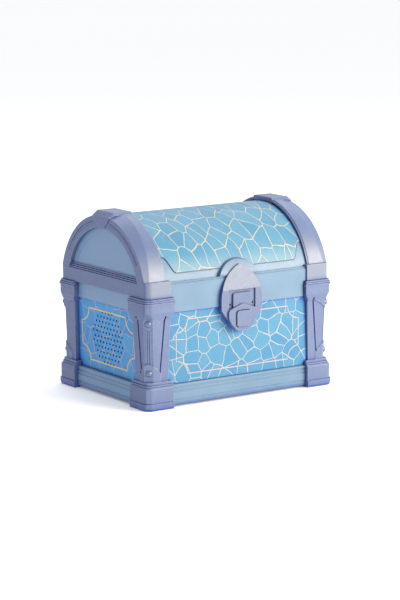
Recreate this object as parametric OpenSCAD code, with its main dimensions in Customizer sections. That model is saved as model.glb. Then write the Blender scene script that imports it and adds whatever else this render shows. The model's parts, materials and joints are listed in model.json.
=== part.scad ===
// Treasure-chest bubbling ornament for an aquarium or pond.
// Air from a pump enters through the nipple at the back, rises from the air stone,
// collects in the bell under the domed lid and lifts the lid until it spills.
// +X is the chest's right, -Y its front and +Z up; the feet stand on z = 0.
// All lengths are in millimetres.

/* [Chest] */
// Width over the lid's foot blocks
chest_w = 175; // [172:1:178]
// Depth over the lid's foot blocks
chest_d = 130; // [128:1:132]
// Height of the body's top face
body_top = 87.3; // [87:0.1:87.4]
// Gap between the body and the closed lid
lid_gap = 0.3; // [0.2:0.1:0.5]

/* [Posts] */
// Side of a post's square base
base_side = 24.5; // [23:0.5:25]
// Distance that the capitals stand out past the lid's foot blocks
capital_out = 2.5; // [2:0.1:2.5]
// Radius of the round studs on the posts
stud_r = 2.8; // [2.4:0.1:3]

/* [Vents] */
// Radius of one vent hole
vent_r = 0.95; // [0.5:0.05:1]
// Distance between neighbouring vent holes
vent_pitch = 4.75; // [4.5:0.05:4.9]

/* [Lid] */
// Outer radius of the barrel-shaped dome
dome_r = 62.8; // [62.4:0.1:63]
// Outer radius of the arches at the dome's ends
arch_r = 64.2; // [64:0.1:64.6]
// Widest opening of the lid, in degrees
open_angle = 55; // [45:1:60]

/* [Lock] */
// Side of the square push button
button_side = 12.8; // [12:0.1:13]
// Distance that the button can be pressed
button_travel = 1.8; // [1.2:0.1:1.8]

/* [Airline] */
// Outer radius of the hose nipple
nipple_r = 2.5; // [2.3:0.1:2.6]
// Radius of the air passage through the nipple
air_bore_r = 1.4; // [1:0.1:1.6]

/* [Hidden] */
$fn = 48;

TRIM = "#8C93B8";
SHELL = "#A3C1DA";
CRACKLE = "#79C0E8";
STEEL = "silver";
CLEAR = "#D8E4EA";
RUBBER = "dimgray";
STONE = "lightgray";

eps = 0.01;
far = 200;
half_w = chest_w / 2;
half_d = chest_d / 2;
lid_z = body_top + lid_gap;

// Body
tub_x = half_w - 8.3;
tub_y = half_d - 5.8;
wall = 2.4;
floor_z = 6;
tub_top = 75;
panel_t = 2.2;
panel_y = half_d - 3.4;
panel_x = half_w - 3.6;
panel_lean = 2;
panel_z0 = 18.3;
panel_z1 = 74.9;
plinth_z0 = 1.6;
plinth_z1 = 18.1;
plinth_y = half_d - 1.2;
plinth_x = half_w - 1.4;
neck_x = half_w - 2.3;
neck_back = half_d - 1.6;
neck_front = half_d - 4.1;
deck_z = 26;
deck_t = 2;
vent_z = 46.7;
vent_rows = [4, 7, 8, 9, 10, 9, 10, 9, 8, 7, 4];
row_pitch = 4.1;

// Posts
post_in_x = half_w + 1.7 - base_side;
post_in_y = half_d + 1.7 - base_side;
base_out = 1.7;
sole_z = 0.3;
sole_top = 2.8;
base_top = 22;
shaft_top_out = -0.3;
shaft_foot_out = -1.7;
shaft_top_trim = [1.1, 1.4];
shaft_foot_trim = [2.7, 3.4];
shaft_chamfer = 5.4;
capital_z = 71.5;
capital_round = 6;
base_round = 5.5;
slot_x = post_in_x + 5;
slot_y = post_in_y + 4.5;
pad_r = 6;
pad_h = 1.6;
stud_heights = [29, 68.2];

// Lid
dome_z = 81.8;
dome_t = 2.4;
dome_x = 67.5;
skin_gap = 0.05;
skin_t = 0.5;
skin_z = 104.7;
skin_corner = [13, 12.5];
arch_z = 84.5;
arch_x = 67.7;
arch_in_r = 53.9;
arch_step = 1.2;
bevel_r = 63.9;
bevel_slope = 0.25;
block_w = 22.3;
block_top = 100.4;
block_in_y = 44.5;
block_round = 5;
sill_top = 98.2;
groove_ends = [12.2, 58.6];
keystone_x = half_w - 3.5;
ring_r = 48.6;
band_y = half_d - 1.4;
band_t = 2.2;
band_x = half_w - block_w - 0.2;
skirt_x = half_w - block_w - 2.9;
skirt_z = 75.2;
bell_r = 60;
bell_t = 1.8;
bell_x = 65.5;
bell_z = 90.6;
bell_screw_x = [-50, -17, 17, 50];
bell_screw_z = dome_z + bell_r - bell_t - 0.05;

// Hinges
hinge_y = half_d + 1.5;
hinge_z = 87.5;
hinge_x = 38;
leaf_w = 26;
leaf_t = 1.6;
barrel_r = 2.8;
pin_r = 1.2;
pin_gap = 0.05;
knuckle = 10;
knuckle_gap = 0.2;
heel_l = 4.2;
heel_t = 1.4;

// Lock
lock_back = band_y;
plate_y = 67.2;
pad_y = 68.9;
button_y = 70;
button_z = 64.8;
button_lip = 0.8;
pocket_side = button_side + 2.4;
plate_half = 19.5;
plate_spring_z = 80;
plate_arc_r = 29.1;
plate_tip = 107.4;
crease_z = 88;
recess_x = 12.8;
recess_z = [72.5, 87.7];
recess_depth = 1.2;
dot_x = 10.7;
dot_z = 76.2;
bolt_r = 1.6;
bolt_tip = 61.9;
pocket_floor = 64.9;
spring_r = 2.5;
spring_wire = 0.35;
spring_turns = 3.5;

// Airline
nipple_z = 20;
nipple_tip = 70;
nut_hex = 5.6;
nut_h = 2.4;
neck_r = 3.2;
spigot_r = 2.3;
stone_r = 9;
stone_h = 15;
cup_h = 6;

// ---------- Shared shapes ----------

// A centred rectangle with true round corners.
module rounded_rect(w, d, r) {
    square([w - 2 * r, d], center = true);
    square([w, d - 2 * r], center = true);
    for (sx = [-1, 1], sy = [-1, 1])
        translate([sx * (w / 2 - r), sy * (d / 2 - r)]) circle(r);
}

// A box between two corners.
module box(low, high) {
    translate(low) cube(high - low);
}

// A cylinder along X, centred on x = 0.
module rod_x(r, length) {
    rotate([0, 90, 0]) cylinder(r = r, h = length, center = true);
}

// A cylinder along Y from y0 to y1.
module rod_y(r, y0, y1) {
    translate([0, y0, 0]) rotate([-90, 0, 0]) cylinder(r = r, h = y1 - y0);
}

// An outline drawn in (x, z), made solid from y0 to y1.
module front_solid(y0, y1) {
    translate([0, y1, 0]) rotate([90, 0, 0]) linear_extrude(y1 - y0) children();
}

// An outline drawn in (y, z), made solid from x0 to x1.
module side_solid(x0, x1) {
    translate([x0, 0, 0]) rotate([90, 0, 90]) linear_extrude(x1 - x0) children();
}

module mirror_x() {
    children();
    mirror([1, 0, 0]) children();
}

module mirror_y() {
    children();
    mirror([0, 1, 0]) children();
}

// A domed screw: the head sits on z = 0 and the shank points down.
module screw(head_r, head_h, shank_r, shank_l) {
    difference() {
        cylinder(r = head_r, h = head_h);
        translate([-head_r, -0.3, head_h - 0.4]) cube([2 * head_r, 0.6, 1]);
    }
    translate([0, 0, -shank_l]) cylinder(r = shank_r, h = shank_l + eps);
}

// ---------- Body shell ----------

module tub() color(SHELL) difference() {
    box([-tub_x, -tub_y, floor_z], [tub_x, tub_y, tub_top]);
    box([-tub_x + wall, -tub_y + wall, floor_z + wall], [tub_x - wall, tub_y - wall, tub_top + 1]);
    for (s = [-1, 1])
        translate([s * tub_x, 0, vent_z]) rod_x(24.5, 4 * wall);
    translate([0, 0, nipple_z]) rod_y(neck_r + 0.1, tub_y - 2 * wall, tub_y + 1);
    base_screw_places() cylinder(r = 1.35, h = 4 * wall, center = true);
}

module base_screw_places() {
    for (sx = [-1, 1], sy = [-1, 1])
        translate([sx * 56, sy * 38, floor_z]) children();
}

module base_plate() color(SHELL) difference() {
    box([-tub_x + 0.2, -tub_y + 0.2, sole_top + 0.2], [tub_x - 0.2, tub_y - 0.2, floor_z]);
    base_screw_places() cylinder(r = 1.6, h = 10, center = true);
    for (x = [-44 : 22 : 44])
        translate([x, 0, floor_z]) cylinder(r = 3, h = 10, center = true);
}

module base_screws() color(STEEL)
    base_screw_places()
        translate([0, 0, sole_top + 0.2 - floor_z]) rotate([180, 0, 0]) screw(2.6, 1.2, 1.3, 5.2);

module ballast_plate() color(STEEL) difference() {
    translate([0, 0, floor_z + wall]) linear_extrude(5.5) rounded_rect(120, 78, 6);
    for (sx = [-1, 1]) translate([sx * 40, 0, floor_z]) cylinder(r = 4, h = 20);
}

module deck_plate() color(SHELL) difference() {
    union() {
        translate([0, 0, deck_z])
            linear_extrude(deck_t) rounded_rect(2 * (tub_x - wall) - 0.4, 2 * (tub_y - wall) - 0.4, 3);
        for (sx = [-1, 1], sy = [-1, 1])
            translate([sx * 70, sy * 50, floor_z + wall]) cylinder(r = 4, h = deck_z - floor_z - wall + eps);
    }
    translate([0, 0, deck_z - 1]) cylinder(r = 5.1, h = 5);
    for (sx = [-1, 1], i = [0 : 4], y = [-36, 0, 36])
        translate([sx * (24 + 10 * i), y, deck_z - 1]) linear_extrude(5) rounded_rect(4, 20, 1.99);
}

module neck_rail() color(SHELL) difference() {
    box([-neck_x, -neck_front, tub_top], [neck_x, neck_back, body_top]);
    box([-tub_x + wall, -tub_y + wall, 0], [tub_x - wall, tub_y - wall, far]);
    hinge_screw_places(-1) rod_y(1.05, -4, 1);
}

module front_panel() color(CRACKLE) difference() {
    box([-slot_x + 0.2, -panel_y, panel_z0], [slot_x - 0.2, -panel_y + panel_t, panel_z1]);
    translate([0, 0, button_z]) rod_y(3.05, -panel_y - 1, 0);
}

module back_panel() color(CRACKLE) difference() {
    box([-slot_x + 0.2, panel_y - panel_t, panel_z0], [slot_x - 0.2, panel_y, panel_z1]);
    translate([0, 0, nipple_z]) rod_y(nut_hex + 0.6, panel_y - 5, panel_y + 1);
}

module keeper_bush() color(STEEL) difference() {
    translate([0, 0, button_z]) rod_y(3, -panel_y, -panel_y + panel_t);
    translate([0, 0, button_z]) rod_y(bolt_r + 0.15, -panel_y - 1, 0);
}

// The vent panels lean in towards the bottom, about their top edge.
module vent_panel() color(CRACKLE)
    translate([-panel_x, 0, panel_z1]) rotate([0, -panel_lean, 0]) difference() {
        box([0, -slot_y + 0.2, panel_z0 - panel_z1], [panel_t, slot_y - 0.2, 0]);
        translate([0, 0, vent_z - panel_z1]) vent_holes();
    }

module vent_holes() {
    rows = len(vent_rows);
    for (r = [0 : rows - 1], i = [0 : vent_rows[r] - 1])
        translate([0, (i - (vent_rows[r] - 1) / 2) * vent_pitch, ((rows - 1) / 2 - r) * row_pitch])
            rod_x(vent_r, 4 * panel_t);
}

module left_vent_panel() vent_panel();

module right_vent_panel() mirror([1, 0, 0]) vent_panel();

// The plinth's moulded section: face at 0, back at depth.
module plinth_section(depth) {
    polygon([
        [depth, plinth_z0], [0.6, plinth_z0], [0, plinth_z0 + 0.8], [0, 5], [0.5, 5.4], [0.5, 6], [0, 6.4],
        [0, 11.2], [0.6, 11.8], [0.6, 12.6], [0.2, 13], [0.2, 14.2], [0.9, 14.8], [0.9, 15.6], [0.5, 16],
        [0.5, 17.4], [1.1, plinth_z1], [depth, plinth_z1]
    ]);
}

module long_plinth() color(SHELL)
    rotate([0, 0, 90]) translate([-plinth_y, 0, 0])
        side_plinth_bar(plinth_y - tub_y - 0.1, post_in_x - 0.1);

module side_plinth_bar(depth, half_length) {
    translate([0, half_length, 0]) rotate([90, 0, 0]) linear_extrude(2 * half_length) plinth_section(depth);
}

module front_plinth() long_plinth();

module back_plinth() difference() {
    mirror([0, 1, 0]) long_plinth();
    translate([0, 0, nipple_z]) rod_y(nut_hex + 0.6, panel_y - 5, plinth_y + 2);
}

module left_plinth() color(SHELL)
    translate([-plinth_x, 0, 0]) side_plinth_bar(plinth_x - tub_x - 0.1, post_in_y - 0.1);

module right_plinth() mirror([1, 0, 0]) left_plinth();

// ---------- Corner posts ----------

// The front left post's plan, standing out by out past the lid's foot block, with a chamfered corner.
module post_plan(out, chamfer, trim) {
    x0 = -half_w - out;
    y0 = -half_d - out;
    x1 = -post_in_x - trim[0];
    y1 = -post_in_y - trim[1];
    polygon([[x0, y0 + chamfer], [x0 + chamfer, y0], [x1, y0], [x1, y1], [x0, y1]]);
}

// The same plan with a true round corner.
module round_plan(out, r, in_out = 0) {
    x0 = -half_w - out;
    y0 = -half_d - out;
    x1 = -post_in_x + in_out;
    y1 = -post_in_y + in_out;
    translate([x0 + r, y0 + r]) circle(r);
    polygon([[x0 + r, y0], [x1, y0], [x1, y1], [x0, y1], [x0, y0 + r]]);
}

module slab(z, h) translate([0, 0, z]) linear_extrude(h) children();

module post_shaft(extra = 0) hull() {
    slab(base_top - 1, eps) post_plan(shaft_foot_out + extra, shaft_chamfer, shaft_foot_trim);
    slab(capital_z + 1, eps) post_plan(shaft_top_out + extra, shaft_chamfer, shaft_top_trim);
}

// Two shields on the shaft's corner, one under the capital and one on the base, and three ribs between them.
module post_shields() {
    intersection() {
        post_shaft(0.9);
        corner_solid() {
            polygon(mirrored([[0.8, 63.4], [2.4, 64.4], [10.8, 71.4], [11.4, capital_z + 2]]));
            polygon(mirrored([[8.6, base_top - 1], [8.4, 29.5], [3.6, 35], [2, 36.1], [0.6, 36.4]]));
        }
    }
    intersection() {
        post_shaft(0.45);
        corner_solid() for (i = [-1 : 1])
            polygon([[1.6 * i - 0.5, 35], [1.6 * i + 0.5, 35], [1.4 * i + 0.4, 65], [1.4 * i - 0.4, 65]]);
    }
}

// An outline drawn on the post's diagonal face, made solid through the post.
module corner_solid() translate([-half_w, -half_d, 0]) rotate([0, 0, -45]) rotate([90, 0, 0])
    linear_extrude(40, center = true) children();

// The slanted grooves on the outer faces of the shaft, widest at the top; a back post has only one.
module post_grooves(both) difference() {
    union() {
        front_solid(-half_d - 3, -half_d + 3)
            polygon([[-71.85, 73.7], [-70.35, 73.7], [-74.55, 29], [-75.65, 29]]);
        if (both) side_solid(-half_w - 3, -half_w + 3)
            polygon([[-51.9, 73.3], [-49.7, 73.3], [-53.5, 29], [-55.1, 29]]);
    }
    post_shaft(-1.2);
}

// The edges of the front and end panels run in behind the post.
module panel_slots() {
    box([-slot_x, -panel_y - 0.05, panel_z0 - 0.1], [0, -tub_y, panel_z1 + 0.1]);
    translate([-panel_x, 0, panel_z1]) rotate([0, -panel_lean, 0])
        box([-0.05, -slot_y, panel_z0 - panel_z1 - 0.1], [panel_t + 3, 0, 0.1]);
}

module post_capital() {
    hull() {
        slab(capital_z, eps) post_plan(shaft_top_out + 1.2, shaft_chamfer, shaft_top_trim);
        slab(capital_z + 2.6, eps) post_plan(1.1, 4.4, [0, 0]);
        slab(capital_z + 5, eps) round_plan(capital_out - 0.6, capital_round, 1.6);
    }
    slab(capital_z + 5, 6.9) round_plan(capital_out - 0.6, capital_round, 1.6);
    slab(83.2, 1.1) round_plan(capital_out, capital_round, 2.2);
    slab(84.2, 0.6) round_plan(capital_out - 0.9, capital_round, 1.4);
    slab(84.7, 1) round_plan(capital_out - 0.4, capital_round, 1.8);
    slab(85.6, 0.6) round_plan(capital_out - 1.3, capital_round, 1);
    slab(86.1, body_top - 86.1) round_plan(capital_out - 1, capital_round, 1.2);
}

module post_base() {
    hull() {
        slab(sole_z, eps) round_plan(base_out + 0.2, base_round);
        slab(2.2, 3.4) round_plan(base_out + 0.9, base_round);
    }
    slab(5.5, 0.5) round_plan(base_out - 0.1, base_round);
    slab(5.9, 11.2) round_plan(base_out + 0.2, base_round);
    hull() {
        slab(17, eps) round_plan(base_out + 0.2, base_round);
        slab(18.3, eps) round_plan(base_out - 0.6, base_round);
    }
    slab(18.3, 0.5) round_plan(base_out - 1.3, base_round);
    slab(18.7, 1.1) round_plan(base_out - 0.9, base_round);
    slab(19.7, 0.6) round_plan(base_out - 2, base_round);
    slab(20.2, base_top - 20.2) round_plan(base_out - 1.6, base_round);
}

module corner_post(both) color(TRIM) difference() {
    union() {
        post_base();
        post_shaft();
        post_shields();
        post_capital();
    }
    post_grooves(both);
    panel_slots();
    box([-tub_x - 0.15, -tub_y - 0.15, sole_top], [0, 0, far]);
    box([-neck_x - 0.15, -neck_back - 0.15, tub_top - 0.1], [0, 0, far]);
    translate([-half_w + 9, -half_d + 9, 0]) cylinder(r = pad_r + 0.1, h = pad_h);
    post_stud_places() sphere(stud_r + 0.05);
}

module front_left_post() corner_post(true);

module front_right_post() mirror([1, 0, 0]) corner_post(true);

module back_left_post() mirror([0, 1, 0]) corner_post(false);

module back_right_post() rotate([0, 0, 180]) corner_post(false);

// Centres of the two studs on the front left post's chamfered corner.
module post_stud_places() {
    for (z = stud_heights) {
        t = (z - base_top) / (capital_z - base_top);
        out = shaft_foot_out + (shaft_top_out - shaft_foot_out) * t + 0.2;
        translate([-half_w - out + shaft_chamfer / 2, -half_d - out + shaft_chamfer / 2, z]) children();
    }
}

module post_studs() color(TRIM)
    mirror_x() mirror_y() post_stud_places() sphere(stud_r);

module foot_pads() color(RUBBER)
    mirror_x() mirror_y() translate([-half_w + 9, -half_d + 9, 0]) cylinder(r = pad_r, h = pad_h);

// ---------- Airline ----------

module inlet_nipple() color(CLEAR) translate([0, 0, nipple_z]) difference() {
    union() {
        rod_y(spigot_r, 46, tub_y - wall);
        rod_y(6, tub_y - wall - 1.6, tub_y - wall);
        rod_y(neck_r, tub_y - wall - eps, tub_y + nut_h);
        rod_y(nipple_r, tub_y, nipple_tip - 1);
        translate([0, nipple_tip - 1, 0]) rotate([-90, 0, 0])
            cylinder(r1 = nipple_r, r2 = nipple_r - 0.6, h = 1);
    }
    rod_y(air_bore_r, 45, nipple_tip + 1);
}

module nipple_nut() color(CLEAR) translate([0, 0, nipple_z]) difference() {
    translate([0, tub_y, 0]) rotate([-90, 0, 0]) cylinder(r = nut_hex, h = nut_h, $fn = 6);
    rod_y(neck_r + 0.05, 0, far);
}

module air_tube() color(CLEAR) translate([0, 0, nipple_z]) difference() {
    rod_y(spigot_r + 1.1, 9.2, 54);
    rod_y(spigot_r + 0.05, 0, far);
}

module air_elbow() color(CLEAR) difference() {
    union() {
        translate([0, 0, nipple_z]) rod_y(spigot_r, 0, 17);
        translate([0, 0, nipple_z]) rod_y(4.6, 0, 9);
        translate([0, 0, nipple_z - 4.6]) cylinder(r = 4.6, h = deck_z - nipple_z + 4.6 + 1.5);
        translate([0, 0, deck_z]) cylinder(r = 3, h = 8);
    }
    translate([0, 0, nipple_z]) rod_y(air_bore_r, 0, 20);
    translate([0, 0, nipple_z - air_bore_r]) cylinder(r = air_bore_r, h = far);
}

module stone_cup() color(CLEAR) difference() {
    translate([0, 0, deck_z + deck_t]) cylinder(r = stone_r + 2, h = cup_h);
    translate([0, 0, deck_z + deck_t + 1.6]) cylinder(r = stone_r + 0.1, h = far);
    translate([0, 0, deck_z]) cylinder(r = 3.05, h = 5);
}

module air_stone() color(STONE) difference() {
    union() {
        translate([0, 0, deck_z + deck_t + 1.6]) cylinder(r = stone_r, h = stone_h - 2);
        translate([0, 0, deck_z + deck_t + stone_h - 0.4]) cylinder(r1 = stone_r, r2 = stone_r - 2, h = 2);
    }
    translate([0, 0, deck_z]) cylinder(r = 3.05, h = 9);
}

// ---------- Hinges ----------

module hinge_places() {
    for (s = [-1, 1]) translate([s * hinge_x, hinge_y, hinge_z]) children();
}

// Screw centres on the leaf faces: side -1 is the body's leaf and +1 the lid's.
module hinge_screw_places(side) {
    back = side < 0 ? neck_back : band_y;
    for (s = [-1, 1], dx = [-8.5, 8.5])
        translate([s * hinge_x + dx, back, side < 0 ? 79.5 : 95.2]) children();
}

module pin_hole() rod_x(pin_r + pin_gap, leaf_w + 2);

// Side profile in local (y, z) of the body's leaf, its barrel and the web between them.
module body_leaf_profile() {
    leaf_back = neck_back - hinge_y;
    circle(barrel_r);
    translate([leaf_back, -11.5]) square([leaf_t, 10.5]);
    translate([leaf_back, -4.5]) square([-leaf_back, 3.5]);
}

module body_hinge_leaf() difference() {
    side_solid(-leaf_w / 2, leaf_w / 2) body_leaf_profile();
    box([-knuckle / 2 - knuckle_gap, -far, -barrel_r - 2], [knuckle / 2 + knuckle_gap, far, far]);
    pin_hole();
}

module body_hinge_leaves() color(TRIM) difference() {
    hinge_places() body_hinge_leaf();
    hinge_screw_places(-1) rod_y(1.1, -1, 5);
}

// The heel under the lid's knuckle meets the body leaf's back face at the widest opening.
module heel_profile() {
    reach = norm([heel_l, heel_t / 2]);
    face = hinge_y - neck_back - leaf_t + 0.04;
    touch = 90 + asin(face / reach);
    rest = touch - open_angle - atan(heel_t / 2 / heel_l);
    rotate(-rest) translate([0, -heel_t / 2]) square([heel_l, heel_t]);
}

module lid_leaf_profile() {
    leaf_back = band_y - hinge_y;
    circle(barrel_r);
    heel_profile();
    translate([leaf_back, 0.6]) square([-leaf_back, barrel_r + 1]);
    translate([leaf_back, 0.6]) square([leaf_t, 10.9]);
}

module lid_hinge_leaf() difference() {
    union() {
        side_solid(-knuckle / 2, knuckle / 2) lid_leaf_profile();
        box([-leaf_w / 2, band_y - hinge_y, barrel_r + 0.7],
            [leaf_w / 2, band_y - hinge_y + leaf_t, 11.5]);
    }
    pin_hole();
}

module lid_hinge_leaves() color(TRIM) difference() {
    hinge_places() lid_hinge_leaf();
    hinge_screw_places(1) rod_y(1.1, -1, 5);
}

module hinge_pins() color(STEEL) hinge_places() {
    rod_x(pin_r, leaf_w + 0.6);
    for (s = [-1, 1]) translate([s * (leaf_w / 2 + 0.7), 0, 0]) rod_x(1.9, 1);
}

module hinge_screw_set(side) color(STEEL)
    hinge_screw_places(side) translate([0, leaf_t, 0]) rotate([-90, 0, 0]) screw(1.9, 0.8, 1, leaf_t + 1.4);

module body_hinge_screws() hinge_screw_set(-1);

module lid_hinge_screws() hinge_screw_set(1);

// ---------- Lid ----------

module dome_tube(r, t, length) {
    translate([0, 0, dome_z]) difference() {
        rod_x(r, length);
        rod_x(r - t, length + 2);
    }
}

module dome() color(SHELL) difference() {
    intersection() {
        dome_tube(dome_r, dome_t, 2 * dome_x);
        box([-far, -far, 97.6], [far, far, far]);
    }
    bell_screw_places() cylinder(r = 1.05, h = bell_t + 2);
}

// Half of the skin's outline in (x, z): a plain side, and an ogee corner at the foot.
function ogee(n) = [
    for (i = [0 : n])
        [dome_x - 0.2 - skin_corner[0] * (1 - i / n), skin_z + skin_corner[1] * smooth(smooth(i / n))]
];

function smooth(t) = t * t * (3 - 2 * t);

module skin_outline() {
    corner = ogee(16);
    left_corner = [for (i = [16 : -1 : 0]) [-corner[i][0], corner[i][1]]];
    polygon(concat(corner, [[dome_x - 0.2, far], [0.2 - dome_x, far]], left_corner));
}

module dome_skin() color(CRACKLE) difference() {
    intersection() {
        dome_tube(dome_r + skin_gap + skin_t, skin_t, 2 * dome_x);
        front_solid(-far, far) skin_outline();
    }
    front_solid(-far, 0) translate([0, 90.3]) circle(21.2);
}

// Outer form of an arch at the left end: a drum with a bevel that is widest at the crown.
module arch_drum() intersection() {
    translate([0, 0, arch_z]) union() {
        translate([-(half_w + arch_x + arch_step) / 2, 0, 0]) rod_x(arch_r, half_w - arch_x - arch_step);
        translate([-arch_x - arch_step / 2, 0, 0]) rod_x(arch_r - 0.6, arch_step + 2 * eps);
    }
    translate([-half_w, 0, dome_z]) rotate([0, 90, 0])
        cylinder(r1 = bevel_r, r2 = bevel_r + bevel_slope * (half_w - arch_x + 1), h = half_w - arch_x + 1);
}

module foot_block() {
    x1 = -half_w + block_w;
    translate([0, 0, lid_z]) linear_extrude(block_top - lid_z) {
        translate([-half_w + block_round, -half_d + block_round]) circle(block_round);
        polygon([[-half_w + block_round, -half_d], [x1, -half_d], [x1, -block_in_y],
                 [-half_w, -block_in_y], [-half_w, -half_d + block_round]]);
    }
}

// The frame's sill, with three slats above it that step back to the tympanum.
module sill() {
    box([-half_w, -block_in_y - 1, lid_z], [-half_w + 6, block_in_y + 1, sill_top]);
    for (i = [0 : 2]) {
        box([-half_w + 1.4 + 0.8 * i, -52, sill_top - eps + 1.4 * i],
            [-half_w + 6, 52, sill_top + 1.4 * i + 0.5]);
        box([-half_w + 0.6 + 0.8 * i, -52, sill_top + 1.4 * i + 0.45],
            [-half_w + 6, 52, sill_top + 1.4 * i + 1.4]);
    }
}

// The sector of the end face that the grooves cover: s = -1 is the front half.
module groove_sector(s) side_solid(-far, 0)
    polygon([[0, dome_z], [s * 80 * sin(groove_ends[0]), dome_z + 80 * cos(groove_ends[0])],
             [s * 90 * sin(35), dome_z + 90 * cos(35)],
             [s * 80 * sin(groove_ends[1]), dome_z + 80 * cos(groove_ends[1])]]);

// A closed slot outline that follows the arch on each half of its end face.
module arch_grooves() for (s = [-1, 1]) {
    intersection() {
        translate([-half_w, 0, dome_z]) union() {
            difference() {
                rod_x(60.1, 1.6);
                rod_x(59.4, 3);
            }
            difference() {
                rod_x(58.2, 1);
                rod_x(57.8, 3);
            }
        }
        groove_sector(s);
    }
    for (a = groove_ends)
        translate([-half_w, 0, dome_z]) rotate([-s * a, 0, 0]) box([-1, -0.25, 57.95], [0.6, 0.25, 59.8]);
}

module side_frame() color(TRIM) difference() {
    union() {
        difference() {
            union() {
                intersection() {
                    arch_drum();
                    box([-far, -far, block_top - eps], [0, far, far]);
                }
                mirror_y() foot_block();
            }
            // the half-moon opening
            intersection() {
                translate([-half_w + 1, 0, dome_z]) rod_x(arch_in_r, 30);
                box([-far, -far, sill_top], [0, far, far]);
            }
        }
        sill();
    }
    // the hollow behind the face
    translate([-half_w + 3.4 + 20, 0, 0]) difference() {
        union() {
            translate([0, 0, arch_z]) rod_x(arch_r - 2.4, 40);
            box([-20, -half_d + 2.4, 0], [20, half_d - 2.4, arch_z + 14]);
        }
        translate([0, 0, dome_z]) intersection() {
            rod_x(arch_in_r + 2.2, 42);
            box([-21, -far, sill_top - dome_z], [-10, far, far]);
        }
        box([-21, -far, 0], [far, far, lid_z]);
        box([-21, -block_in_y + 2, sill_top - 8], [-17.4, block_in_y - 2, sill_top + 1]);
    }
    // room for the dome and for the bands' ends
    translate([0, 0, dome_z]) rod_x(dome_r + 0.15, 2 * arch_x);
    translate([0, 0, dome_z]) rod_x(dome_r + skin_gap + skin_t + 0.15, 2 * dome_x);
    arch_grooves();
    // a fine line between the blocks and the arch
    mirror_y() box([-half_w - 1, -far, block_top - 0.3], [-half_w + 0.4, -56.8, block_top + 0.1]);
    keystone_form(0.1);
    translate([-half_w + 3, 0, 0]) tympanum_disc(0.15, 3);
}

// Outlines of the keystone in (y, z), behind its bevel and on its face; grow makes the seat that it fits.
module keystone_outline(grow) {
    polygon(mirrored([[4.8 + grow, 136.7 - grow], [12.6 + grow, 144.6],
                      [13.4 + grow, 146.8], [11.9 + grow, 148.8 + grow]]));
}

module keystone_face(grow) {
    polygon(mirrored([[4.8 + grow, 136.7 - grow], [12.3 + grow, 144.6], [12 + grow, 145.4 + grow]]));
}

// The keystone stands out over the arch and its face leans back to the crown.
module keystone_form(grow) {
    hull() {
        side_solid(-half_w - 0.7 - grow, -half_w - 0.6 - grow) keystone_face(grow);
        side_solid(-keystone_x - 0.05, -keystone_x) keystone_outline(grow);
    }
    side_solid(-keystone_x - 0.05, -arch_x + 5 * grow) keystone_outline(grow);
}

module keystone() color(TRIM) difference() {
    keystone_form(0);
    translate([-half_w + 23, 0, arch_z]) rod_x(arch_r - 3.2, 40);
}

// The half-moon disc of the tympanum, from x = 0 inwards; grow makes its seat.
module tympanum_disc(grow, t) intersection() {
    translate([t / 2, 0, dome_z]) rod_x(arch_in_r + 1.4 + grow, t);
    box([-1, -far, sill_top + 3.7 - grow], [t + 1, far, far]);
}

module tympanum() color(SHELL) translate([-half_w + 3.1, 0, 0]) difference() {
    tympanum_disc(0, 2.6);
    intersection() {
        translate([0, 0, dome_z]) rod_x(ring_r, 0.5);
        box([-2, -far, sill_top + 5.2], [1, far, far]);
    }
}

module left_side_frame() side_frame();

module right_side_frame() mirror([1, 0, 0]) side_frame();

module left_keystone() keystone();

module right_keystone() mirror([1, 0, 0]) keystone();

module left_tympanum() tympanum();

module right_tympanum() mirror([1, 0, 0]) tympanum();

// Section of a band in (y, z), seen from the lid's left; foot is its lower edge.
module band_section(foot) {
    face = -band_y;
    back = face + band_t;
    polygon([[face, foot], [face, 97.3], [face + 0.9, 97.3], [face + 0.9, 98.9], [-60.9, 98.9],
             [-60.9, 97.5], [-58.8, 97.5], [-58.8, 95.3], [back, 95.3], [back, foot]]);
}

module bell_screw_places() {
    for (x = bell_screw_x) translate([x, 0, bell_screw_z]) children();
}

module front_band() color(SHELL) difference() {
    union() {
        side_solid(-band_x, band_x) band_section(lid_z);
        side_solid(-skirt_x, skirt_x) band_section(skirt_z);
    }
    for (s = [-1, 1]) translate([s * dot_x, 0, dot_z]) rod_y(0.7, -far, 0);
}

module back_band() color(SHELL) difference() {
    mirror([0, 1, 0]) side_solid(-band_x, band_x) band_section(lid_z);
    hinge_screw_places(1) rod_y(1.05, -4, 1);
}

// The open-bottomed bell that holds the air under the dome.
module air_bell() color(CLEAR) difference() {
    intersection() {
        union() {
            dome_tube(bell_r, bell_t, 2 * bell_x);
            for (s = [-1, 1]) translate([s * (bell_x - bell_t / 2), 0, dome_z]) rod_x(bell_r, bell_t);
        }
        box([-far, -far, bell_z], [far, far, far]);
    }
    bell_screw_places() cylinder(r = 1.2, h = 5);
}

module bell_screws() color(STEEL)
    bell_screw_places() rotate([180, 0, 0]) screw(2.1, 0.9, 1, bell_t + 1.8);

// ---------- Lock ----------

module lock_collar() color(SHELL) difference() {
    intersection() {
        front_solid(-band_y, -50) intersection() {
            translate([0, 90.3]) circle(20.8);
            translate([-far / 2, 98.95]) square([far, far]);
        }
        translate([0, 0, dome_z]) rod_x(dome_r + 3.4, 60);
    }
    translate([0, 0, dome_z]) rod_x(dome_r + 0.05, 80);
}

function mirrored(half) = concat(half, [for (i = [len(half) - 1 : -1 : 0]) [-half[i][0], half[i][1]]]);

module pad_outline() {
    polygon(mirrored([[4.6, 55.2], [6.6, 56], [10.8, 60.6], [12.8, 64.2], [13.4, 66.5], [13.6, 70.2],
                      [12.6, 72.2], [1.4, 76.4]]));
}

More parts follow.
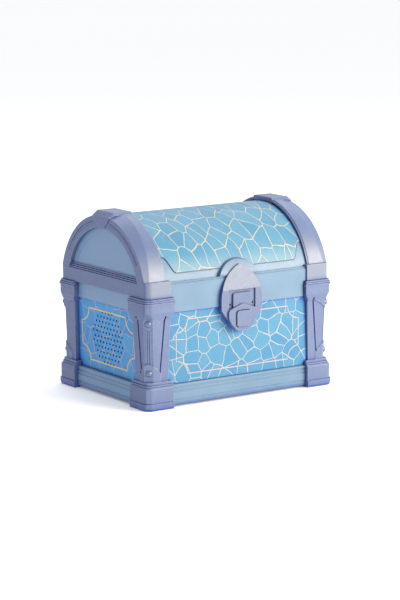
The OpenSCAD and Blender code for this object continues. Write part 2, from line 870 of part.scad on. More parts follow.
// A pointed arch over straight sides that taper down behind the pad.
module plate_outline() {
    offset_x = plate_arc_r - plate_half;
    steps = 16;
    top = acos(offset_x / plate_arc_r);
    arc = [for (i = [0 : steps - 1])
        [plate_arc_r * cos(top * i / steps) - offset_x, plate_spring_z + plate_arc_r * sin(top * i / steps)]];
    foot = [[4.6, 55.2], [6.6, 56], [10.8, 60.6], [12.6, 63.8], [16.8, 68.4], [plate_half, 72.4]];
    polygon(mirrored(concat(foot, arc, [[0.3, plate_tip]])));
}

module button_square(side, r) translate([0, button_z]) rounded_rect(side, side, r);

module lock_plate() color(TRIM) difference() {
    front_solid(-plate_y, -58) plate_outline();
    // the upper half leans back from the crease
    translate([0, -plate_y, crease_z]) rotate([-10.5, 0, 0]) box([-30, -20, 0], [30, 0, 40]);
    // the back lies on the band and on the collar
    box([-30, -lock_back, 0], [30, 0, 98.95]);
    intersection() {
        translate([0, 0, dome_z]) rod_x(dome_r + 3.45, 60);
        box([-30, -far, 98.9], [30, 0, far]);
    }
    front_solid(-plate_y - 1, -plate_y + recess_depth)
        translate([-recess_x, recess_z[0]]) square([2 * recess_x, recess_z[1] - recess_z[0]]);
    front_solid(-plate_y - 1, -pocket_floor) button_square(pocket_side, 2.8);
    translate([0, 0, button_z]) rod_y(bolt_r + 0.05, -far, 0);
    for (s = [-1, 1]) translate([s * dot_x, 0, dot_z]) rod_y(0.85, -far, 0);
}

module hasp_tab() color(TRIM) difference() {
    front_solid(-plate_y - 0.5, -plate_y + recess_depth)
        translate([0, 78.7]) rounded_rect(17.2, 12.6, 1.2);
    front_solid(-plate_y - 1, -plate_y + recess_depth + 1) pad_outline();
}

module lock_pad() color(TRIM) difference() {
    union() {
        front_solid(-pad_y, -plate_y) pad_outline();
        front_solid(-plate_y - eps, -plate_y + recess_depth) intersection() {
            pad_outline();
            translate([-recess_x + 0.1, recess_z[0] + 0.6]) square([2 * recess_x - 0.2, 9]);
        }
    }
    front_solid(-pad_y - 1, -pad_y + button_lip + eps) button_square(button_side + 0.9, 2.6);
    front_solid(-pad_y + button_lip, 0) button_square(pocket_side, 2.8);
}

module plate_screws() color(STEEL)
    for (s = [-1, 1])
        translate([s * dot_x, 0, dot_z]) {
            rod_y(0.8, -plate_y + recess_depth + 1.2, -lock_back);
            rod_y(0.65, -lock_back - eps, -lock_back + 1.9);
        }

module button_cap() color(TRIM) difference() {
    union() {
        front_solid(-button_y, -67.9) button_square(button_side, 2.2);
        front_solid(-67.9 - eps, -66.9) button_square(button_side + 1.6, 2.6);
    }
    translate([0, 0, button_z]) rod_y(3.1, -68.6, 0);
}

module lock_bolt() color(STEEL)
    translate([0, 0, button_z]) {
        rod_y(bolt_r, -68.6, -bolt_tip - 0.4);
        translate([0, -bolt_tip - 0.4, 0]) rotate([-90, 0, 0])
            cylinder(r1 = bolt_r, r2 = bolt_r - 0.4, h = 0.4);
    }

// A coil of wire round the bolt, swept ring by ring.
module button_spring() color(STEEL) {
    sides = 6;
    steps = 56;
    length = 68.55 - pocket_floor - 2 * spring_wire;
    rings = [
        for (i = [0 : steps])
            let (a = 360 * spring_turns * i / steps, y = -68.55 + spring_wire + length * i / steps)
            for (k = [0 : sides - 1])
                let (b = 360 * k / sides, r = spring_r + spring_wire * cos(b))
                [r * cos(a), y + spring_wire * sin(b), button_z + r * sin(a)]
    ];
    quads = [
        for (i = [0 : steps - 1], k = [0 : sides - 1])
            let (n = (k + 1) % sides)
            [i * sides + k, i * sides + n, (i + 1) * sides + n, (i + 1) * sides + k]
    ];
    start = [for (k = [sides - 1 : -1 : 0]) k];
    end = [for (k = [0 : sides - 1]) steps * sides + k];
    polyhedron(rings, concat([start], quads, [end]));
}

// ---------- Nodes ----------

tub();
base_plate();
deck_plate();
neck_rail();
front_panel();
back_panel();
left_vent_panel();
right_vent_panel();
front_plinth();
back_plinth();
left_plinth();
right_plinth();
front_left_post();
front_right_post();
back_left_post();
back_right_post();
post_studs();
foot_pads();
base_screws();
ballast_plate();
inlet_nipple();
nipple_nut();
air_tube();
air_elbow();
stone_cup();
air_stone();
keeper_bush();
body_hinge_leaves();
hinge_pins();
body_hinge_screws();
dome();
dome_skin();
left_side_frame();
right_side_frame();
left_keystone();
right_keystone();
left_tympanum();
right_tympanum();
front_band();
back_band();
air_bell();
bell_screws();
lid_hinge_leaves();
lid_hinge_screws();
lock_collar();
lock_plate();
hasp_tab();
lock_pad();
plate_screws();
button_spring();
button_cap();
lock_bolt();
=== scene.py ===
"""Looks of the treasure-chest bubbling ornament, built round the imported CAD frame."""
import json
import math

import bpy
import bmesh
from mathutils import Matrix, Vector


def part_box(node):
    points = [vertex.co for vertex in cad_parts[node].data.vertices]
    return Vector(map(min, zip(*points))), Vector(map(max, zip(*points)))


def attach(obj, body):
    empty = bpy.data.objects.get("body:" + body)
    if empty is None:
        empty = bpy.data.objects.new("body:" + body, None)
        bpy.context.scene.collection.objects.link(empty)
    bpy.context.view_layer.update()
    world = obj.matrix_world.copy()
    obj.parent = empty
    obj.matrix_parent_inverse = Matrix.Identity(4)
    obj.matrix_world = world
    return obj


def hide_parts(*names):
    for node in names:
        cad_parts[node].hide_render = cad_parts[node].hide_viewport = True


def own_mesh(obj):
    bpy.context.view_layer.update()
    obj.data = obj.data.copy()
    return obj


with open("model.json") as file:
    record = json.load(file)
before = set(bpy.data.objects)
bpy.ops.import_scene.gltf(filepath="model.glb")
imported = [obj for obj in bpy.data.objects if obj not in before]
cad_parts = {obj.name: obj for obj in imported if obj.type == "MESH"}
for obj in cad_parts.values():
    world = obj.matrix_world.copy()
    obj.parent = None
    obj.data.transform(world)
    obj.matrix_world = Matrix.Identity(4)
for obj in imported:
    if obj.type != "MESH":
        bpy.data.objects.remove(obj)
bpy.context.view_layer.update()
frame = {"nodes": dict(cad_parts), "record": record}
NODES = frame["nodes"]
MM = 0.001


def box_mm(node):
    """The lowest and highest corners of a CAD node at rest, in mm to two places."""
    return [[round(value / MM, 2) for value in corner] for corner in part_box(node)]


# places on the CAD model, in mm
PANEL_FACE_Y = box_mm("back_panel")[1][1]          # outer face of the front and back panels
END_FACE_X = box_mm("right_vent_panel")[1][0]      # outer face of the end panels at their top
END_TOP_Z = box_mm("front_panel")[1][2]            # the end panels lean in from this height down
END_LEAN = math.radians(2.0)
DOME_Z = 81.8                                      # height of the dome's axis
DOME_R = 62.8                                      # outside of the dome, under its skin
SKIN_R = DOME_R + 0.55                             # outside of the skin
SKIN_HALF = box_mm("dome_skin")[1][0]              # half of the skin's width
SKIN_LOW_Z = box_mm("dome_skin")[0][2]             # the skin's lower edge
SKIN_CORNER = (13.0, 12.5)                         # width and height of the skin's corner curves


# ---------------------------------------------------------------- shader building

def srgb(red, green, blue):
    """A display colour, 0 to 255, as the linear colour that shaders use."""
    def linear(channel):
        channel /= 255.0
        return channel / 12.92 if channel <= 0.04045 else ((channel + 0.055) / 1.055) ** 2.4
    return (linear(red), linear(green), linear(blue), 1.0)


class Shader:
    """A node tree with one Principled shader, and short names for the nodes it is built from."""

    def __init__(self, name, roughness=0.4, metallic=0.0, coat=0.0, coat_roughness=0.1, ior=1.45):
        self.material = bpy.data.materials.new(name)
        self.material.use_nodes = True
        self.tree = self.material.node_tree
        self.tree.nodes.clear()
        self.out = self.node("ShaderNodeOutputMaterial")
        self.bsdf = self.node("ShaderNodeBsdfPrincipled")
        self.tree.links.new(self.bsdf.outputs[0], self.out.inputs[0])
        self.bsdf.inputs["Roughness"].default_value = roughness
        self.bsdf.inputs["Metallic"].default_value = metallic
        self.bsdf.inputs["Coat Weight"].default_value = coat
        self.bsdf.inputs["Coat Roughness"].default_value = coat_roughness
        self.bsdf.inputs["IOR"].default_value = ior
        self.coords = self.node("ShaderNodeTexCoord").outputs["Object"]

    def node(self, kind, **settings):
        made = self.tree.nodes.new(kind)
        for key, value in settings.items():
            setattr(made, key, value)
        return made

    def put(self, value, socket):
        """Links value to the socket if it is another node's output, and otherwise sets it."""
        if isinstance(value, bpy.types.NodeSocket):
            self.tree.links.new(value, socket)
        else:
            socket.default_value = value

    def math(self, operation, first, second=0.0):
        made = self.node("ShaderNodeMath", operation=operation)
        self.put(first, made.inputs[0])
        self.put(second, made.inputs[1])
        return made.outputs[0]

    def mix(self, amount, first, second):
        made = self.node("ShaderNodeMix", data_type="RGBA")
        self.put(amount, made.inputs[0])
        self.put(first, made.inputs[6])
        self.put(second, made.inputs[7])
        return made.outputs[2]

    def step(self, value, low, high, start=0.0, end=1.0):
        """Runs smoothly from start to end as value goes from low to high."""
        made = self.node("ShaderNodeMapRange", interpolation_type="SMOOTHSTEP")
        for item, socket in zip((value, low, high, start, end), made.inputs):
            self.put(item, socket)
        return made.outputs[0]

    def split(self, vector):
        made = self.node("ShaderNodeSeparateXYZ")
        self.put(vector, made.inputs[0])
        return made.outputs

    def join(self, x, y, z=0.0):
        made = self.node("ShaderNodeCombineXYZ")
        for value, socket in zip((x, y, z), made.inputs):
            self.put(value, socket)
        return made.outputs[0]

    def scaled(self, vector, factor):
        made = self.node("ShaderNodeVectorMath", operation="SCALE")
        self.put(vector, made.inputs[0])
        made.inputs["Scale"].default_value = factor
        return made.outputs[0]

    def shifted(self, vector, shift):
        made = self.node("ShaderNodeVectorMath", operation="ADD")
        self.put(vector, made.inputs[0])
        self.put(shift, made.inputs[1])
        return made.outputs[0]

    def in_mm(self):
        """The place on the object, in mm."""
        return self.scaled(self.coords, 1.0 / MM)

    def noise(self, per_mm, detail=2.0, rough=0.5, vector=None, output="Fac"):
        """Noise with per_mm waves to the millimetre. A vector that is given is already in mm."""
        made = self.node("ShaderNodeTexNoise")
        self.put(self.coords if vector is None else vector, made.inputs["Vector"])
        made.inputs["Scale"].default_value = per_mm / MM if vector is None else per_mm
        made.inputs["Detail"].default_value = detail
        made.inputs["Roughness"].default_value = rough
        return made.outputs[output]

    def wobble(self, vector, per_mm, detail, rough, reach):
        """A shift that wanders from place to place, by up to half of reach each way."""
        noise = self.noise(per_mm, detail, rough, vector, output="Color")
        return self.scaled(self.shifted(noise, (-0.5, -0.5, -0.5)), reach)

    def cells(self, vector, size, feature="DISTANCE_TO_EDGE", output="Distance"):
        made = self.node("ShaderNodeTexVoronoi", feature=feature, voronoi_dimensions="2D")
        self.put(vector, made.inputs["Vector"])
        made.inputs["Scale"].default_value = 1.0 / size
        return made.outputs[output]

    def occlusion(self, reach):
        made = self.node("ShaderNodeAmbientOcclusion", samples=8)
        made.inputs["Distance"].default_value = reach * MM
        return made.outputs["AO"]

    def rounded(self, radius):
        made = self.node("ShaderNodeBevel", samples=4)
        made.inputs["Radius"].default_value = radius * MM
        return made.outputs[0]

    def edges(self, radius):
        """The rounded normal, and a mask that is 1 on sharp edges and 0 on flat faces."""
        bevel = self.rounded(radius)
        made = self.node("ShaderNodeVectorMath", operation="DOT_PRODUCT")
        self.put(bevel, made.inputs[0])
        self.put(self.node("ShaderNodeNewGeometry").outputs["Normal"], made.inputs[1])
        return bevel, self.step(made.outputs["Value"], 0.995, 0.86)

    def bump(self, height, strength, distance, normal=None):
        made = self.node("ShaderNodeBump")
        made.inputs["Strength"].default_value = strength
        made.inputs["Distance"].default_value = distance * MM
        self.put(height, made.inputs["Height"])
        if normal is not None:
            self.put(normal, made.inputs["Normal"])
        return made.outputs[0]

    def finish(self, colour, normal=None, roughness=None):
        self.put(colour, self.bsdf.inputs["Base Color"])
        if normal is not None:
            self.put(normal, self.bsdf.inputs["Normal"])
        if roughness is not None:
            self.put(roughness, self.bsdf.inputs["Roughness"])
        return self.material


# ---------------------------------------------------------------- kinds of material

FACES_SIDEWAYS = (0.70, 0.95)        # how far a normal turns to the left or right
FACES_FORWARD = (0.74, 0.96)         # how far a normal turns to the front or back
FACES_DIAGONALLY = (0.38, 0.48)      # the product of those two
CREVICE = (0.26, 0.90)               # occlusion in a deep crevice, and on an open face
FOOT_SHADE = (1.0, 6.5)                    # heights between which the painted shade at the foot fades out, in mm


def moulded(name, base, deep, pale, shadow, metallic=0.0, roughness=0.4, bevel=0.45, grain=0.5,
            crease=0.7, coat=0.0, reach=2.6, upper_highlight=None, ends_shading=None, corner=None, foot=0.3):
    """Moulded plastic with a fine grain, a painted highlight on the edges and painted shade in the creases.

    The upper highlight is (colour, low, high): faces that look forward or back turn to colour between these
    heights, a painted highlight.
    The ends shading is the colour of the faces that look to the left or right, painted light and shade, and
    corner is the painted light on the chamfers between, and foot says how dark the painted shade at the
    lowest edge is."""
    look = Shader(name, roughness=roughness, metallic=metallic, coat=coat, coat_roughness=0.3)
    cloud = look.noise(0.035, 3.0)
    fleck = look.noise(2.6, 2.0, 0.7)
    speck = look.noise(6.0, 1.0, 0.6)
    colour = look.mix(look.step(cloud, 0.35, 0.68), base, deep)
    height = look.split(look.in_mm())[2]
    # the object's own normal, so that the lid keeps its painted light and shade when it opens
    normal_x, normal_y, _ = look.split(look.node("ShaderNodeTexCoord").outputs["Normal"])
    # painted light and shade: faces that look to the left or right take their own tone
    if ends_shading is not None:
        sideways = look.step(look.math("ABSOLUTE", normal_x), *FACES_SIDEWAYS)
        colour = look.mix(sideways, colour, ends_shading)
    # painted light on the chamfers between the front and the ends
    if corner is not None:
        product = look.math("ABSOLUTE", look.math("MULTIPLY", normal_x, normal_y))
        colour = look.mix(look.step(product, *FACES_DIAGONALLY), colour, corner)
    # painted highlight on faces that look forward or back, between two heights
    if upper_highlight is not None:
        tone, low, high = upper_highlight
        forward = look.step(look.math("ABSOLUTE", normal_y), *FACES_FORWARD)
        colour = look.mix(look.math("MULTIPLY", look.step(height, low, high), forward), colour, tone)
    colour = look.mix(look.step(fleck, 0.50, 0.74, 0.0, grain * 0.35), colour, pale)
    colour = look.mix(look.step(speck, 0.48, 0.25, 0.0, grain * 0.30), colour, shadow)
    normal, edge = look.edges(bevel)
    # painted highlight on the sharp edges, in patches
    edge_highlight = look.step(look.noise(0.35, 3.0), 0.30, 0.62, 0.35, 0.85)
    colour = look.mix(look.math("MULTIPLY", edge, edge_highlight), colour, pale)
    # painted shade in the creases and recesses, from occlusion
    colour = look.mix(look.step(look.occlusion(reach), *CREVICE, crease, 0.0), colour, shadow)
    # painted shade at the foot, darkest nearest the floor
    colour = look.mix(look.step(height, *FOOT_SHADE, foot, 0.0), colour, shadow)
    normal = look.bump(look.noise(3.4, 3.0, 0.65), 0.22, 0.06, normal)
    gloss = look.noise(0.5, 4.0, 0.6)
    return look.finish(colour, normal, look.step(gloss, 0.25, 0.75, roughness - 0.07, roughness + 0.07))


PANE_FLECK = srgb(200, 222, 236)
PANE_SHADE = srgb(20, 78, 198)       # under the lid and beside the posts
HOLE_SHADE = srgb(6, 8, 34)           # painted shade inside the vent holes and along tight corners


def unrolled(look, mode):
    """The surface laid flat, in mm: front (x, z), side (y, z) or dome (x, arc round the dome)."""
    x, y, z = look.split(look.in_mm())
    if mode == "front":
        return look.join(x, z)
    if mode == "side":
        return look.join(y, z)
    arc = look.math("MULTIPLY", look.math("ARCTAN2", y, look.math("SUBTRACT", z, DOME_Z)), DOME_R)
    # the net leans a little and is drawn out round the dome
    return look.join(look.math("ADD", x, look.math("MULTIPLY", arc, 0.10)),
                     look.math("MULTIPLY", arc, 0.72))


def cracked(name, mode, base, deep, line, fine_line, line_mm, cell_mm, seed, fade=None):
    """Printed crackle: a wandering net of pale lines over panes of slightly different blues.

    fade is (colour, low, high): the panes turn to colour below these heights."""
    look = Shader(name, roughness=0.55)
    flat = look.shifted(unrolled(look, mode), (seed, seed * 1.7, 0.0))
    bent = look.shifted(flat, look.wobble(flat, 0.045, 1.0, 0.5, cell_mm * 0.5))
    bent = look.shifted(bent, look.wobble(flat, 0.22, 2.0, 0.6, 1.3))

    # distances to the lines come out in cell sizes
    fine_cell_mm = cell_mm * 0.62
    from_line = look.cells(bent, cell_mm)
    from_fine_line = look.cells(look.shifted(bent, (31.0, 17.0, 0.0)), fine_cell_mm)
    swell = look.step(look.noise(0.09, 2.0, 0.6, flat), 0.30, 0.70, 0.7, 1.3)
    half = look.math("MULTIPLY", swell, 0.5 * line_mm / cell_mm)
    lines = look.step(from_line, look.math("MULTIPLY", half, 1.35), look.math("MULTIPLY", half, 0.75))
    fine_half = 0.30 * line_mm / fine_cell_mm
    fine_lines = look.step(from_fine_line, fine_half * 1.6, fine_half * 0.7)
    patches = look.step(look.noise(0.055, 2.0, 0.5, look.shifted(flat, (90.0, 40.0, 0.0))), 0.50, 0.62)
    fine_lines = look.math("MULTIPLY", fine_lines, look.math("MULTIPLY", patches, 0.35))

    pane = look.split(look.cells(bent, cell_mm, "F1", "Color"))[0]
    cloud = look.noise(0.03, 3.0, 0.55, flat)
    colour = look.mix(look.step(pane, 0.15, 0.95), base, deep)
    colour = look.mix(look.step(cloud, 0.40, 0.75, 0.0, 0.55), colour, base)
    if fade is not None:
        tone, low, high = fade
        ragged = look.math("ADD", look.split(look.in_mm())[2], look.math("MULTIPLY", cloud, 8.0))
        colour = look.mix(look.step(ragged, high + 4.0, low + 4.0, 0.0, 0.8), colour, tone)
    # a darker halo beside the lines
    colour = look.mix(look.step(from_line, 0.12, 0.02, 0.0, 0.18), colour, deep)
    colour = look.mix(fine_lines, colour, fine_line)
    colour = look.mix(lines, colour, line)
    colour = look.mix(look.step(look.noise(2.2, 2.0, 0.7), 0.52, 0.80, 0.0, 0.14), colour, PANE_FLECK)
    colour = look.mix(look.step(look.occlusion(7.0), 0.25, 0.97, 0.85, 0.0), colour, PANE_SHADE)
    # painted shade where the panes are closely occluded
    colour = look.mix(look.step(look.occlusion(1.6), 0.42, 0.82, 1.0, 0.0), colour, HOLE_SHADE)
    relief = look.math("ADD", lines, look.math("MULTIPLY", look.noise(2.0, 2.0), 0.25))
    normal = look.bump(relief, 0.30, 0.12, look.rounded(0.3))
    return look.finish(colour, normal, look.step(lines, 0.0, 1.0, 0.55, 0.65))


def metal(name, tone, roughness):
    look = Shader(name, roughness=roughness, metallic=1.0)
    streak = look.noise(0.4, 3.0, 0.6)
    darker = srgb(*[channel * 0.82 for channel in tone])
    colour = look.mix(look.step(streak, 0.3, 0.7), srgb(*tone), darker)
    # painted shade where the metal is occluded
    colour = look.mix(look.step(look.occlusion(1.5), 0.2, 0.9, 0.6, 0.0), colour, srgb(40, 42, 50))
    return look.finish(colour, look.bump(streak, 0.15, 0.04, look.rounded(0.2)))


def clear(name, tone):
    look = Shader(name, roughness=0.12, ior=1.46)
    darker = srgb(*[channel * 0.93 for channel in tone])
    colour = look.mix(look.step(look.noise(0.12, 3.0), 0.3, 0.7), srgb(*tone), darker)
    look.bsdf.inputs["Transmission Weight"].default_value = 0.55
    return look.finish(colour, look.bump(look.noise(0.4, 3.0), 0.10, 0.10, look.rounded(0.3)))


def rubber(name):
    look = Shader(name, roughness=0.75)
    colour = look.mix(look.noise(0.6, 4.0, 0.6), srgb(28, 30, 40), srgb(44, 46, 58))
    return look.finish(colour, look.bump(look.noise(4.0, 3.0), 0.4, 0.08, look.rounded(0.3)))


def porous(name):
    look = Shader(name, roughness=0.9)
    grit = look.cells(look.in_mm(), 0.9, "F1")
    cloud = look.step(look.noise(0.8, 4.0, 0.7), 0.3, 0.7)
    colour = look.mix(cloud, srgb(150, 152, 150), srgb(188, 190, 186))
    colour = look.mix(look.step(grit, 0.25, 0.05, 0.0, 0.6), colour, srgb(90, 92, 92))
    return look.finish(colour, look.bump(grit, 0.7, 0.35))


# ---------------------------------------------------------------- materials of the CAD nodes

# pale grain flecks, and the painted highlight on the edges
PALE = srgb(172, 177, 196)
# the next three colours are dark grain specks, and the painted shade in creases and at the foot
NAVY = srgb(16, 52, 156)
DEEP_SHADE = srgb(12, 22, 84)
SEA_SHADE = srgb(10, 44, 130)
PEARL = {"metallic": 0.05, "roughness": 0.42, "grain": 0.8}
BLUE = {"roughness": 0.42, "bevel": 0.4, "grain": 0.6, "crease": 0.35, "reach": 2.4}

# painted light and shade on the trim: darker ends, lighter chamfers, a highlight on the upper front and back
trim = moulded("trim_pearl", srgb(90, 106, 142), srgb(85, 101, 137), PALE, NAVY, bevel=0.5, crease=0.85,
               reach=3.0, upper_highlight=(srgb(111, 120, 140), 86.0, 92.0), ends_shading=srgb(80, 96, 136),
               corner=srgb(106, 122, 158), **PEARL)
stud = moulded("stud_gloss", srgb(100, 114, 146), srgb(95, 109, 141), PALE, NAVY, metallic=0.3,
               roughness=0.28, bevel=0.2, grain=0.2, crease=0.5, coat=0.2)
# painted light and shade on the ends of the shell and collar, and painted shade at the shell's foot
shell = moulded("shell_blue", srgb(98, 127, 154), srgb(92, 121, 149), srgb(122, 150, 174), SEA_SHADE,
                ends_shading=srgb(104, 134, 168), foot=0.6, **BLUE)
collar = moulded("collar_blue", srgb(86, 114, 142), srgb(81, 109, 137), srgb(112, 140, 164), SEA_SHADE,
                 ends_shading=srgb(50, 88, 146), **BLUE)
# painted shade on the ends of the lock plate, and a painted highlight on its upper front
plate = moulded("lock_pearl", srgb(90, 105, 140), srgb(85, 100, 135), PALE, DEEP_SHADE, bevel=0.35, crease=0.95,
                upper_highlight=(srgb(96, 106, 130), 82.0, 94.0), ends_shading=srgb(46, 66, 140), **PEARL)
lock = moulded("lock_inner_pearl", srgb(90, 105, 140), srgb(85, 100, 135), PALE, DEEP_SHADE, bevel=0.35,
               crease=1.0, **PEARL)
crackle_front = cracked("crackle_front", "front", srgb(62, 123, 158), srgb(47, 113, 154),
                        srgb(164, 161, 156), srgb(122, 142, 162), line_mm=0.54, cell_mm=11.5, seed=3.0)
crackle_side = cracked("crackle_side", "side", srgb(58, 134, 190), srgb(42, 122, 184),
                       srgb(158, 146, 150), srgb(118, 142, 182), line_mm=0.55, cell_mm=13.5, seed=47.0)
crackle_dome = cracked("crackle_dome", "dome", srgb(78, 130, 160), srgb(62, 120, 155),
                       srgb(172, 164, 142), srgb(140, 150, 146), line_mm=0.54, cell_mm=11.5, seed=11.0,
                       fade=(srgb(106, 140, 158), 106.0, 118.0))
steel = metal("steel_satin", (196, 200, 208), 0.3)
# near-black screw heads, painted shade for the deep screw holes
screw_hole_shade = metal("screw_hole_shade", (10, 8, 18), 0.6)

LOOKS = {
    "shell": shell,
    "trim": trim,
    "stud": stud,
    "stainless": steel,
    "rubber": rubber("rubber_black"),
    "clear_plastic": clear("plastic_clear", (184, 206, 218)),
    "air_stone": porous("air_stone_grit"),
}
# nodes that look different from the rest of their slot
OWN = {
    "front_panel": crackle_front,
    "back_panel": crackle_front,
    "left_vent_panel": crackle_side,
    "right_vent_panel": crackle_side,
    "dome_skin": crackle_dome,
    "lock_collar": collar,
    "lock_plate": plate,
    # the screw heads are near-black: painted shade in their holes
    "plate_screws": screw_hole_shade,
    "lock_pad": lock,
    "hasp_tab": lock,
    "button_cap": lock,
}
SLOTS = {part["node"]: part["material_slot"] for part in frame["record"]["subparts"]}
for name, node in NODES.items():
    node.data.materials.clear()
    node.data.materials.append(OWN.get(name) or LOOKS[SLOTS[name]])


# ---------------------------------------------------------------- the button's spring

def add_object(name, data):
    made = bpy.data.objects.new(name, data)
    bpy.context.scene.collection.objects.link(made)
    return made


# a copy of the button's spring, which moves with the button
spring = add_object("button_spring_coil", NODES["button_spring"].data.copy())
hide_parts("button_spring")
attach(spring, "lock_button")
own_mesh(spring)


# ---------------------------------------------------------------- printed lines, as thin raised strips

PRINTED = {"grain": 0.3, "crease": 0.3}
frame_cream = moulded("frame_cream", srgb(164, 154, 158), srgb(158, 149, 154), srgb(170, 162, 164),
                      srgb(90, 110, 150), roughness=0.45, bevel=0.1, **PRINTED)
frame_gold = moulded("frame_gold", srgb(204, 178, 118), srgb(196, 170, 112), srgb(214, 196, 150),
                     srgb(110, 100, 100), roughness=0.45, bevel=0.1, **PRINTED)
outline_maroon = moulded("outline_maroon", srgb(74, 44, 84), srgb(66, 38, 78), srgb(90, 60, 96),
                         srgb(30, 20, 60), roughness=0.5, bevel=0.05, **PRINTED)
SUNK = -0.02                         # the strips start this far under the surface, in mm


def strip(name, path, closed, material, place, width, height):
    """A flat strip along path, drawn in (u, v); place(u, v, w) is the point at height w over the surface."""
    count = len(path)
    strip_mesh = bmesh.new()
    rings = []
    for i, (u, v) in enumerate(path):
        before = path[(i - 1) % count] if closed or i > 0 else path[i]
        after = path[(i + 1) % count] if closed or i < count - 1 else path[i]
        along_u, along_v = after[0] - before[0], after[1] - before[1]
        length = math.hypot(along_u, along_v)
        side_u, side_v = -along_v / length * width / 2, along_u / length * width / 2
        # the top is a little narrower than the foot
        section = ((1, SUNK), (0.8, SUNK + height), (-0.8, SUNK + height), (-1, SUNK))
        rings.append([strip_mesh.verts.new(Vector(place(u + side_u * a, v + side_v * a, w)) * MM)
                      for a, w in section])
    for i in range(count if closed else count - 1):
        this_ring, next_ring = rings[i], rings[(i + 1) % count]
        for k in range(4):
            n = (k + 1) % 4
            strip_mesh.faces.new((this_ring[k], this_ring[n], next_ring[n], next_ring[k]))
    if not closed:
        strip_mesh.faces.new(rings[0])
        strip_mesh.faces.new(list(reversed(rings[-1])))
    bmesh.ops.recalc_face_normals(strip_mesh, faces=strip_mesh.faces)
    mesh = bpy.data.meshes.new(name)
    strip_mesh.to_mesh(mesh)
    strip_mesh.free()
    mesh.materials.append(material)
    return add_object(name, mesh)


def ticket(half_width, low, high, notch, steps=8):
    """A rectangle whose corners are scooped out, as a closed path."""
    path = []
    for side, v, turn in ((1, low, 0), (1, high, 1), (-1, high, 2), (-1, low, 3)):
        for i in range(steps + 1):
            a = math.radians(180 - 90 * i / steps + 90 * turn)
            path.append((side * half_width + notch * math.cos(a), v + notch * math.sin(a)))
    return path


def panel_face(side):
    """On the front or back panel, with u along x and v up."""
    return lambda u, v, w: (u, side * (PANEL_FACE_Y + w), v)


def end_face(side):
    """On the left or right end panel, with u along y and v up."""
    def at(u, v, w):
        down = END_TOP_Z - v
        return (side * (END_FACE_X - down * math.sin(END_LEAN) + w * math.cos(END_LEAN)), u,
                END_TOP_Z - down * math.cos(END_LEAN) - w * math.sin(END_LEAN))
    return at


def skin_face(side):
    """On the front or back half of the skin, with u along x and v down the arc from the crown."""
    return lambda u, v, w: (u, side * (SKIN_R + w) * math.sin(v / SKIN_R),
                            DOME_Z + (SKIN_R + w) * math.cos(v / SKIN_R))


def skin_arc(z):
    """Arc length on the skin from the crown down to height z."""
    return SKIN_R * math.acos((z - DOME_Z) / SKIN_R)


def smooth(t):
    return t * t * (3 - 2 * t)


OUTLINE_WIDTH = 0.5
SKIN_SIDE_HEIGHTS = (144.9, 143.0, 139.0, 134.0, 128.0, 122.0)


def skin_edge(hand, inner, steps=16):
    """Half of the skin's edge: down one side, round the corner's curve and along the bottom to inner.

    The path runs half of the outline's width inside the edge."""
    half = SKIN_HALF - OUTLINE_WIDTH / 2
    low = SKIN_LOW_Z + OUTLINE_WIDTH / 2
    run, rise = SKIN_CORNER
    path = [(hand * half, skin_arc(z)) for z in SKIN_SIDE_HEIGHTS]
    for i in range(steps, -1, -1):
        u = half - run * (1 - i / steps)
        path.append((hand * u, skin_arc(low + rise * smooth(smooth(i / steps)))))
    path.append((hand * inner, skin_arc(low)))
    return path


for side, word in ((-1, "front"), (1, "back")):
    outline = ticket(half_width=58.7, low=25.0, high=68.3, notch=10.5)
    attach(strip("frame_line_" + word, outline, True, frame_cream, panel_face(side),
                  width=1.0, height=0.18), "chest")
for side, word in ((-1, "left"), (1, "right")):
    outline = ticket(half_width=39.0, low=25.3, high=68.0, notch=11.5)
    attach(strip("frame_line_" + word, outline, True, frame_gold, end_face(side),
                  width=1.15, height=0.18), "chest")
# the front outline stops under the collar
for side, word, inner in ((-1, "front", 15.7), (1, "back", 0.0)):
    for hand, hand_word in ((-1, "left"), (1, "right")):
        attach(strip("skin_outline_" + word + "_" + hand_word, skin_edge(hand, inner), False,
                      outline_maroon, skin_face(side), width=OUTLINE_WIDTH, height=0.06), "lid")


# ---------------------------------------------------------------- floor, light and camera

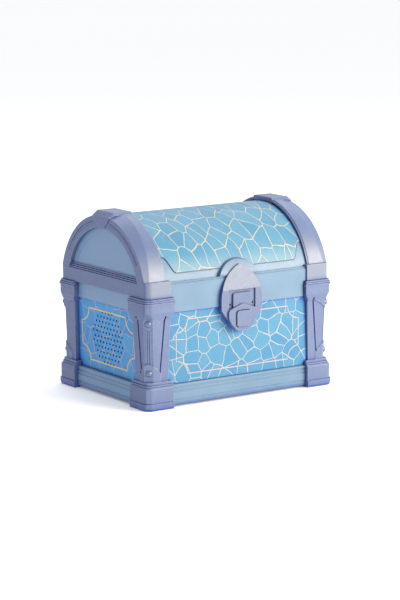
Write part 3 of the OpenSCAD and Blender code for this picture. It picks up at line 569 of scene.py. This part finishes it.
def make_floor(half=40.0):
    mesh = bpy.data.meshes.new("floor")
    corners = [(-half, -half, 0), (half, -half, 0), (half, half, 0), (-half, half, 0)]
    mesh.from_pydata(corners, [], [(0, 1, 2, 3)])
    look = Shader("floor_white", roughness=0.8)
    # lit a little by itself, so that it is as white as the photograph's background
    look.bsdf.inputs["Emission Color"].default_value = (1.0, 1.0, 1.0, 1.0)
    look.bsdf.inputs["Emission Strength"].default_value = 0.14
    colour = look.mix(look.noise(0.0005, 2.0), srgb(250, 250, 251), srgb(253, 253, 254))
    mesh.materials.append(look.finish(colour))
    return add_object("floor", mesh)


def area_light(name, place, size, power, colour=(1.0, 1.0, 1.0)):
    """A rectangular light that looks at the middle of the chest."""
    data = bpy.data.lights.new(name, "AREA")
    data.shape = "RECTANGLE"
    data.size, data.size_y = size
    data.energy = power
    data.color = colour
    light = add_object(name, data)
    light.location = place
    aim = Vector((0.0, 0.0, 0.07)) - Vector(place)
    light.rotation_euler = aim.to_track_quat("-Z", "Y").to_euler()


def make_world():
    world = bpy.data.worlds.new("studio")
    world.use_nodes = True
    background = world.node_tree.nodes["Background"]
    background.inputs["Color"].default_value = (0.97, 0.985, 1.0, 1.0)
    background.inputs["Strength"].default_value = 0.86
    return world


def make_camera(azimuth, elevation, roll, distance, target, lens):
    """A camera that looks at target from the azimuth and elevation, rolled about its own axis."""
    data = bpy.data.cameras.new("camera")
    data.sensor_fit = "VERTICAL"
    data.sensor_height = 36.0
    data.lens = lens
    data.clip_start = 0.05
    data.clip_end = 200.0
    back = Vector((math.sin(azimuth) * math.cos(elevation), -math.cos(azimuth) * math.cos(elevation),
                   math.sin(elevation)))
    right = Vector((math.cos(azimuth), math.sin(azimuth), 0.0))
    up = back.cross(right)
    axes = (right * math.cos(roll) + up * math.sin(roll), up * math.cos(roll) - right * math.sin(roll), back)
    camera = add_object("camera", data)
    camera.matrix_world = Matrix.Translation(target + back * distance) @ Matrix(axes).transposed().to_4x4()
    return camera


make_floor()
area_light("key", (0.74, -1.19, 0.52), (0.9, 0.6), 34.0, (1.0, 0.89, 0.72))
area_light("top_back", (0.5, 0.7, 1.25), (1.4, 1.2), 10.0)
bpy.context.scene.world = make_world()
bpy.context.scene.view_settings.view_transform = "Standard"
bpy.context.scene.camera = make_camera(
    azimuth=math.radians(-33.85359), elevation=math.radians(10.2395), roll=-0.0053646,
    distance=1.83244, target=Vector((0.0035488, -0.0023805, 0.0691424)), lens=135.415)
